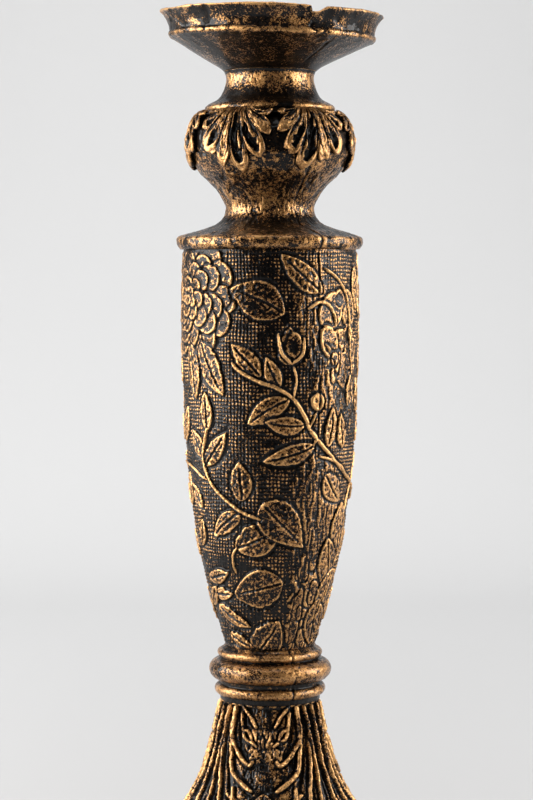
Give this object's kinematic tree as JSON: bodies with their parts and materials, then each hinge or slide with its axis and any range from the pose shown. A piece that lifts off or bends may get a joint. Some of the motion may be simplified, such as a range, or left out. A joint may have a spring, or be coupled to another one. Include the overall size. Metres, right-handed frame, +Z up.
{
  "type": "altar candlestick",
  "caption": "Tall altar candlestick with a lift-off drip pan over a pricket, leaf-draped knop, relief-covered tapered shaft, moulded collar and flared foot.",
  "frame": {"origin": "on the stem's axis, at the underside of the felt pad", "axes": "+Z up the stem towards the candle, -Y towards the front seen in the picture, +X to its right"},
  "size_m": [0.114, 0.114, 0.4042],
  "materials": {
    "pan_bronze": "satin, antique gold rubbed over near-black lacquer on cast resin",
    "neck_bronze": "satin, antique gold rubbed over near-black lacquer on cast resin",
    "crown_bronze": "satin, antique gold rubbed over near-black lacquer on cast resin",
    "knop_bronze": "satin, antique gold rubbed over near-black lacquer on cast resin",
    "shaft_bronze": "satin, antique gold rubbed over near-black lacquer on cast resin",
    "collar_bronze": "satin, antique gold rubbed over near-black lacquer on cast resin",
    "foot_bronze": "satin, antique gold rubbed over near-black lacquer on cast resin",
    "plinth_bronze": "satin, antique gold rubbed over near-black lacquer on cast resin",
    "pricket_steel": "dark bronze-washed steel",
    "steel_hardware": "zinc plated",
    "base_plate_steel": "black paint",
    "ballast_iron": "rough cast",
    "gasket_rubber": "matte",
    "green_felt": "pressed wool felt"
  },
  "bodies": {
    "stem": {"felt_pad": "green_felt", "base_plate": "base_plate_steel", "base_screws": "steel_hardware", "ballast_weight": "ballast_iron", "base_plinth": "plinth_bronze", "leaf_foot": "foot_bronze", "collar_ring": "collar_bronze", "relief_shaft": "shaft_bronze", "knop_spool": "knop_bronze", "leaf_crown": "crown_bronze", "neck_spool": "neck_bronze", "pan_gasket": "gasket_rubber", "pricket_spike": "pricket_steel", "tie_rod": "steel_hardware", "coupling_nut": "steel_hardware", "top_washer": "steel_hardware", "bottom_washer": "steel_hardware", "lock_washer": "steel_hardware", "bottom_nut": "steel_hardware", "index_pins": "steel_hardware"},
    "drip_pan": {"wax_pan": "pan_bronze"}
  },
  "joints": [
    {"name": "wax_pan_lift", "type": "slide", "parent": "stem", "child": "drip_pan", "axis": [0, 0, 1], "range_m": [0, 0.045]}
  ]
}
